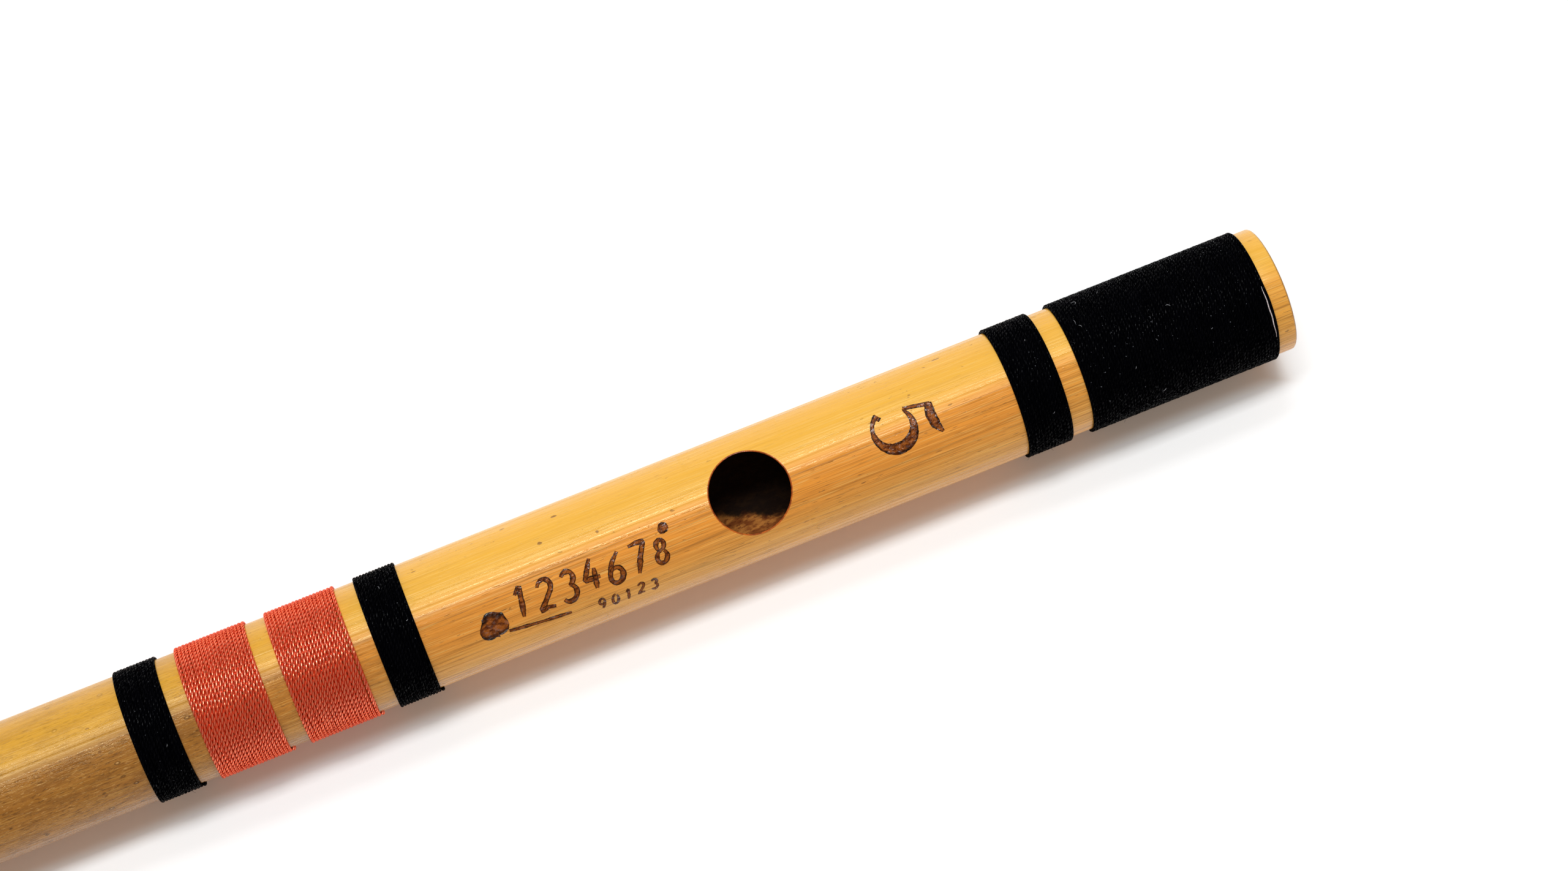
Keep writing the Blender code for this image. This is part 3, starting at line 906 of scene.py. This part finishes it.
def make_fibres():
    lint, loose, pale = Shell(), Shell(), Shell()
    for speck in LINT:
        strand(lint, curl(*speck), 0.022)
    for along, heading, length in STRAYS:
        strand(loose, curl(along, STRAY_ACROSS, 0.45, heading, 0.5, length, rise=0.5 * length), 0.02)

    # A slack pale filament in the gap beside the wide head binding's last turn: a painted highlight that
    # stands in for the gleam in that gap
    places = [(176.78 + 0.03 * math.sin(5.0 * i), math.radians(2 - 3.2 * i) * TUBE_RADIUS / MM, 0.46)
              for i in range(16)]
    strand(pale, np.array(places), 0.085)

    for name, shell, *tones in (
            ("lint", lint, (0.26, 0.27, 0.31), (0.40, 0.40, 0.42)),
            ("loose_ends", loose, (0.010, 0.010, 0.014), (0.05, 0.045, 0.05)),
            ("painted_gleam_filament", pale, (0.52, 0.43, 0.42), (0.74, 0.66, 0.66))):
        look = two_tones(name + "_look", (0.35, 0.65, 5.0, 5.0), tones, 0.5, (9.0, 9.0, 1.0), 0.01)
        add_piece(name, shell.mesh(name, [look], 60), "black_thread")


# Cork stopper
def make_cork(steps=12, count=64):
    low, high = (corner[0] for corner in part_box("cork_stopper"))
    radius, edge = BORE_RADIUS - CORK_FIT, CORK_EDGE
    rings = [(low, 0.0), (low, radius * 0.35), (low, radius * 0.7), (low, radius - edge),
             (low + 0.18 * edge, radius - 0.18 * edge * 1.6), (low + edge, radius)]
    body = [(low + edge + (high - low - 2 * edge) * k / steps, radius) for k in range(1, steps)]
    profile = rings + body + [(low + high - x, r) for x, r in reversed(rings)]
    shell = Shell()
    rng = np.random.default_rng(4)
    loops, maps = [], []
    for k, (x, r) in enumerate(profile):
        inward = 1 if x < (low + high) / 2 else -1
        loop = []
        for i in range(count):
            rough = rng.uniform(-1, 0) * 0.06 * MM if r > 0 else 0.0
            dent = rng.uniform(0, 1) * 0.08 * MM * inward if 0 < r < radius else 0.0
            loop.append(shell.vert(spot(x + dent, 2 * math.pi * i / count, r + rough)))
        loops.append(loop)
        maps.append([(i / count, k / len(profile)) for i in range(count + 1)])
    loft(shell, loops, maps, [0] * (len(profile) - 1))
    add_piece("cork_plug", shell.mesh("cork_fine", [cork_look()], 60, weld=True), "cork", "cork_stopper")


# Burnt marks: strokes laid on the skin, given by a middle line and half widths in millimetres
def arc(cx, cy, rx, ry, first, last, count):
    angles = [math.radians(first + (last - first) * i / (count - 1)) for i in range(count)]
    return [(cx + rx * math.cos(angle), cy + ry * math.sin(angle)) for angle in angles]


def smooth_line(points, widths, spacing=0.22):
    """Points and half widths at an even spacing along a polyline."""
    points = np.array(points, float)
    lengths = np.concatenate([[0], np.cumsum(np.linalg.norm(np.diff(points, axis=0), axis=1))])
    at = np.linspace(0, lengths[-1], max(3, int(lengths[-1] / spacing) + 1))
    shares = np.linspace(0, lengths[-1], len(widths))
    line = np.stack([np.interp(at, lengths, side) for side in points.T], axis=-1)
    return line, np.interp(at, shares, widths)


# A stroke's section: places across in half widths, heights over the skin in mm, and how dark it is
ACROSS = (-1.0, -0.93, -0.72, -0.35, 0.0, 0.35, 0.72, 0.93, 1.0)
HEIGHTS = (-0.10, 0.035, 0.045, 0.018, 0.012, 0.018, 0.045, 0.035, -0.10)
CHAR = (1.0, 1.0, 0.75, 0.15, 0.0, 0.15, 0.75, 1.0, 1.0)


def stroke(shell, char, line, widths, rng):
    """A burnt stroke with raised lips, on the skin at (along, across) places in metres."""
    ahead = np.roll(line, -1, axis=0)
    behind = np.roll(line, 1, axis=0)
    ahead[-1] = line[-1] * 2 - line[-2]
    behind[0] = line[0] * 2 - line[1]
    tangent = ahead - behind
    tangent /= np.linalg.norm(tangent, axis=1)[:, None] + 1e-12
    normal = np.stack([-tangent[:, 1], tangent[:, 0]], axis=-1)
    rows = []
    for i in range(len(line)):
        row = []
        wobble = 1 + rng.uniform(-0.10, 0.10) * min(1.0, 0.4 * MM / widths[i])
        for share, height, dark in zip(ACROSS, HEIGHTS, CHAR):
            along, across = line[i] + normal[i] * widths[i] * share * wobble
            angle = across / TUBE_RADIUS
            lift = height * MM * (1 + rng.uniform(-0.3, 0.3) * (height > 0))
            row.append(shell.vert(spot(along, angle, float(skin(along, angle)) + lift)))
            char.append(min(1.0, dark + rng.uniform(0, 0.35)))
        rows.append(row)
    close_rows(shell, rows)


def mark(name, strokes, material, seed):
    """One burnt mark of several strokes: (points, half widths), in millimetres on the skin."""
    shell = Shell()
    char = []
    rng = np.random.default_rng(seed)
    for points, widths in strokes:
        line, half = smooth_line(points, widths)
        stroke(shell, char, line * MM, half * MM, rng)
    mesh = shell.mesh(name, [material], 60)
    mesh.attributes.new("char", "FLOAT", "POINT").data.foreach_set("value", char)
    add_piece(name, mesh, "bamboo")


def number_five(middle_x, middle_y, height, width):
    """A figure five with thick and thin strokes, its top towards the head end."""
    flag = [(0.20, 0.93), (0.45, 0.90), (0.70, 0.92), (0.90, 0.99)]
    stem = [(0.24, 0.95), (0.17, 0.72), (0.13, 0.55)]
    bowl = [(0.13, 0.56)] + arc(0.45, 0.31, 0.45, 0.31, 125, -150, 26)
    ball = [(0.08, 0.16), (0.15, 0.11)]
    strokes = ((flag, [0.50, 0.78, 0.74, 0.22]), (stem, [0.34, 0.30, 0.30]),
               (bowl, [0.20, 0.50, 0.86, 0.88, 0.60, 0.30, 0.36]), (ball, [0.60, 0.56]))
    return [([(middle_x + (gy - 0.5) * height, middle_y - (gx - 0.5) * width) for gx, gy in points], widths)
            for points, widths in strokes]


def loop(cx, cy, rx, ry, start=90):
    return arc(cx, cy, rx, ry, start, start + 330, 20)


# Plain figures as strokes in a box one high and about two thirds wide
FIGURES = {
    "1": [[(0.12, 0.78), (0.34, 0.98), (0.33, 0.50), (0.30, 0.04)]],
    "2": [arc(0.32, 0.74, 0.26, 0.24, 165, -35, 12) + [(0.06, 0.06), (0.34, 0.10), (0.62, 0.05)]],
    "3": [arc(0.30, 0.75, 0.24, 0.22, 150, -80, 12), arc(0.30, 0.29, 0.28, 0.26, 80, -150, 14)],
    "4": [[(0.36, 0.98), (0.04, 0.38), (0.64, 0.36)], [(0.46, 0.66), (0.44, 0.02)]],
    "6": [[(0.50, 0.97), (0.22, 0.70), (0.08, 0.36)] + arc(0.32, 0.28, 0.25, 0.25, 165, 500, 20)],
    "7": [[(0.04, 0.93), (0.34, 0.96), (0.62, 0.93), (0.40, 0.50), (0.26, 0.02)]],
    "8": [loop(0.32, 0.76, 0.20, 0.20, 270), loop(0.32, 0.28, 0.26, 0.26)],
    "9": [loop(0.30, 0.70, 0.24, 0.26, 20), [(0.55, 0.80), (0.52, 0.40), (0.34, 0.04)]],
    "0": [loop(0.32, 0.50, 0.26, 0.46, 80)],
}


def figures(text, first_x, base, height, spacing, half_width):
    """Figures in a row that reads towards the head end, its base line at a place round the tube."""
    strokes = []
    for i, figure in enumerate(text):
        rise = 0.06 * height * math.sin(2.3 * i + 1.0)
        for line in FIGURES[figure]:
            points = [(first_x + i * spacing + (gx + 0.16 * gy) * height * 0.82, base + rise + gy * height)
                      for gx, gy in line]
            strokes.append((points, [half_width * share for share in (0.55, 1.0, 0.9, 1.1, 0.6)]))
    return strokes


def dot(x, y, long, tall):
    """A burnt spot, a little out of round."""
    shares = [k / 12 for k in range(-12, 13)]
    points = [(x + long * share, y + 0.08 * tall * math.sin(4 * share + 1)) for share in shares]
    widths = [tall * math.sqrt(1.02 - share ** 2) * (1 + 0.07 * math.sin(9 * share + x)) for share in shares]
    return points, widths


def make_marks():
    """A figure five, and a row of plain figures with a small row under it."""
    material = burnt_mark()
    mark("burnt_number", number_five(HEAD - 54.9, 0.55, 9.1, 6.3), material, 7)
    row = (figures("123467", HEAD - 112.6, -4.9, 4.4, 3.3, 0.40)
           + figures("8", HEAD - 92.6, -4.9, 3.4, 3.0, 0.36))
    small = figures("90123", HEAD - 101.8, -8.3, 1.9, 1.85, 0.21)
    line = ([(HEAD - 114.0, -5.7), (HEAD - 109.5, -6.25), (HEAD - 105.4, -6.6)],
            [0.24, 0.30, 0.22, 0.30, 0.18])
    spots = [dot(HEAD - 115.7, -4.25, 2.0, 2.0), dot(HEAD - 90.2, -0.2, 0.75, 0.8)]
    mark("burnt_figures", row + small + [line] + spots, material, 8)


# Stage
def make_floor():
    bpy.ops.mesh.primitive_plane_add(size=6.0, location=(0, 0, 0))
    floor = bpy.context.object
    floor.name = "floor"
    floor.data.materials.append(floor_look())


def lamp(name, lean, size, level, colour):
    """A soft box off upright by lean degrees towards +Y. At level 1 it lights a white sheet to white."""
    light = bpy.data.lights.new(name, "AREA")
    light.shape = "RECTANGLE"
    light.size, light.size_y = size
    light.energy = level * math.pi ** 2 * LAMP_DISTANCE ** 2
    light.color = colour
    obj = new_object(name, light)
    target = Vector((0.06, 0, AXIS_Z))
    away = Vector((0, math.sin(math.radians(lean)), math.cos(math.radians(lean))))
    obj.location = target + away * LAMP_DISTANCE
    obj.rotation_euler = (target - obj.location).to_track_quat("-Z", "Y").to_euler()
    return obj


def make_light():
    """Three long soft boxes over the +Y side, a broad weak one opposite and an even warm surround."""
    for name, lean, level in (("key", 20, 0.46), ("soft", 34, 0.22), ("low", 50, 0.09)):
        lamp(name, lean, (1.2, 0.26), level, COOL)
    fill = lamp("fill", -50, (1.8, 1.2), 0.06, WARM)
    fill.visible_glossy = False
    world = bpy.data.worlds.new("studio")
    bpy.context.scene.world = world
    world.use_nodes = True
    background = world.node_tree.nodes["Background"]
    background.inputs["Color"].default_value = (1.0, 0.965, 0.93, 1.0)
    background.inputs["Strength"].default_value = 0.36


def make_camera():
    """The camera of the photo's view, from its angles to the flute."""
    data = bpy.data.cameras.new("camera")
    data.sensor_fit = "HORIZONTAL"
    data.sensor_width = SENSOR
    data.lens = FOCAL_PIXELS / IMAGE_WIDTH * SENSOR
    data.clip_start = 0.01
    camera = new_object("camera", data)
    back = Vector((0, -math.sin(CAMERA_LEAN), math.cos(CAMERA_LEAN)))
    pose = Matrix.Translation(Vector((HEAD_X - CAMERA_FROM_HEAD, 0, AXIS_Z)) + back * CAMERA_DISTANCE)
    for angle, axis in ((CAMERA_LEAN, "X"), (-CAMERA_TO_HEAD, "Y"), (CAMERA_UP, "X"), (-CAMERA_ROLL, "Z")):
        pose = pose @ Matrix.Rotation(angle, 4, axis)
    camera.matrix_world = pose
    bpy.context.scene.camera = camera


make_camera()
make_light()
make_floor()
make_tube()
make_bindings()
make_fibres()
make_cork()
make_marks()
bpy.context.scene.view_settings.view_transform = "Standard"
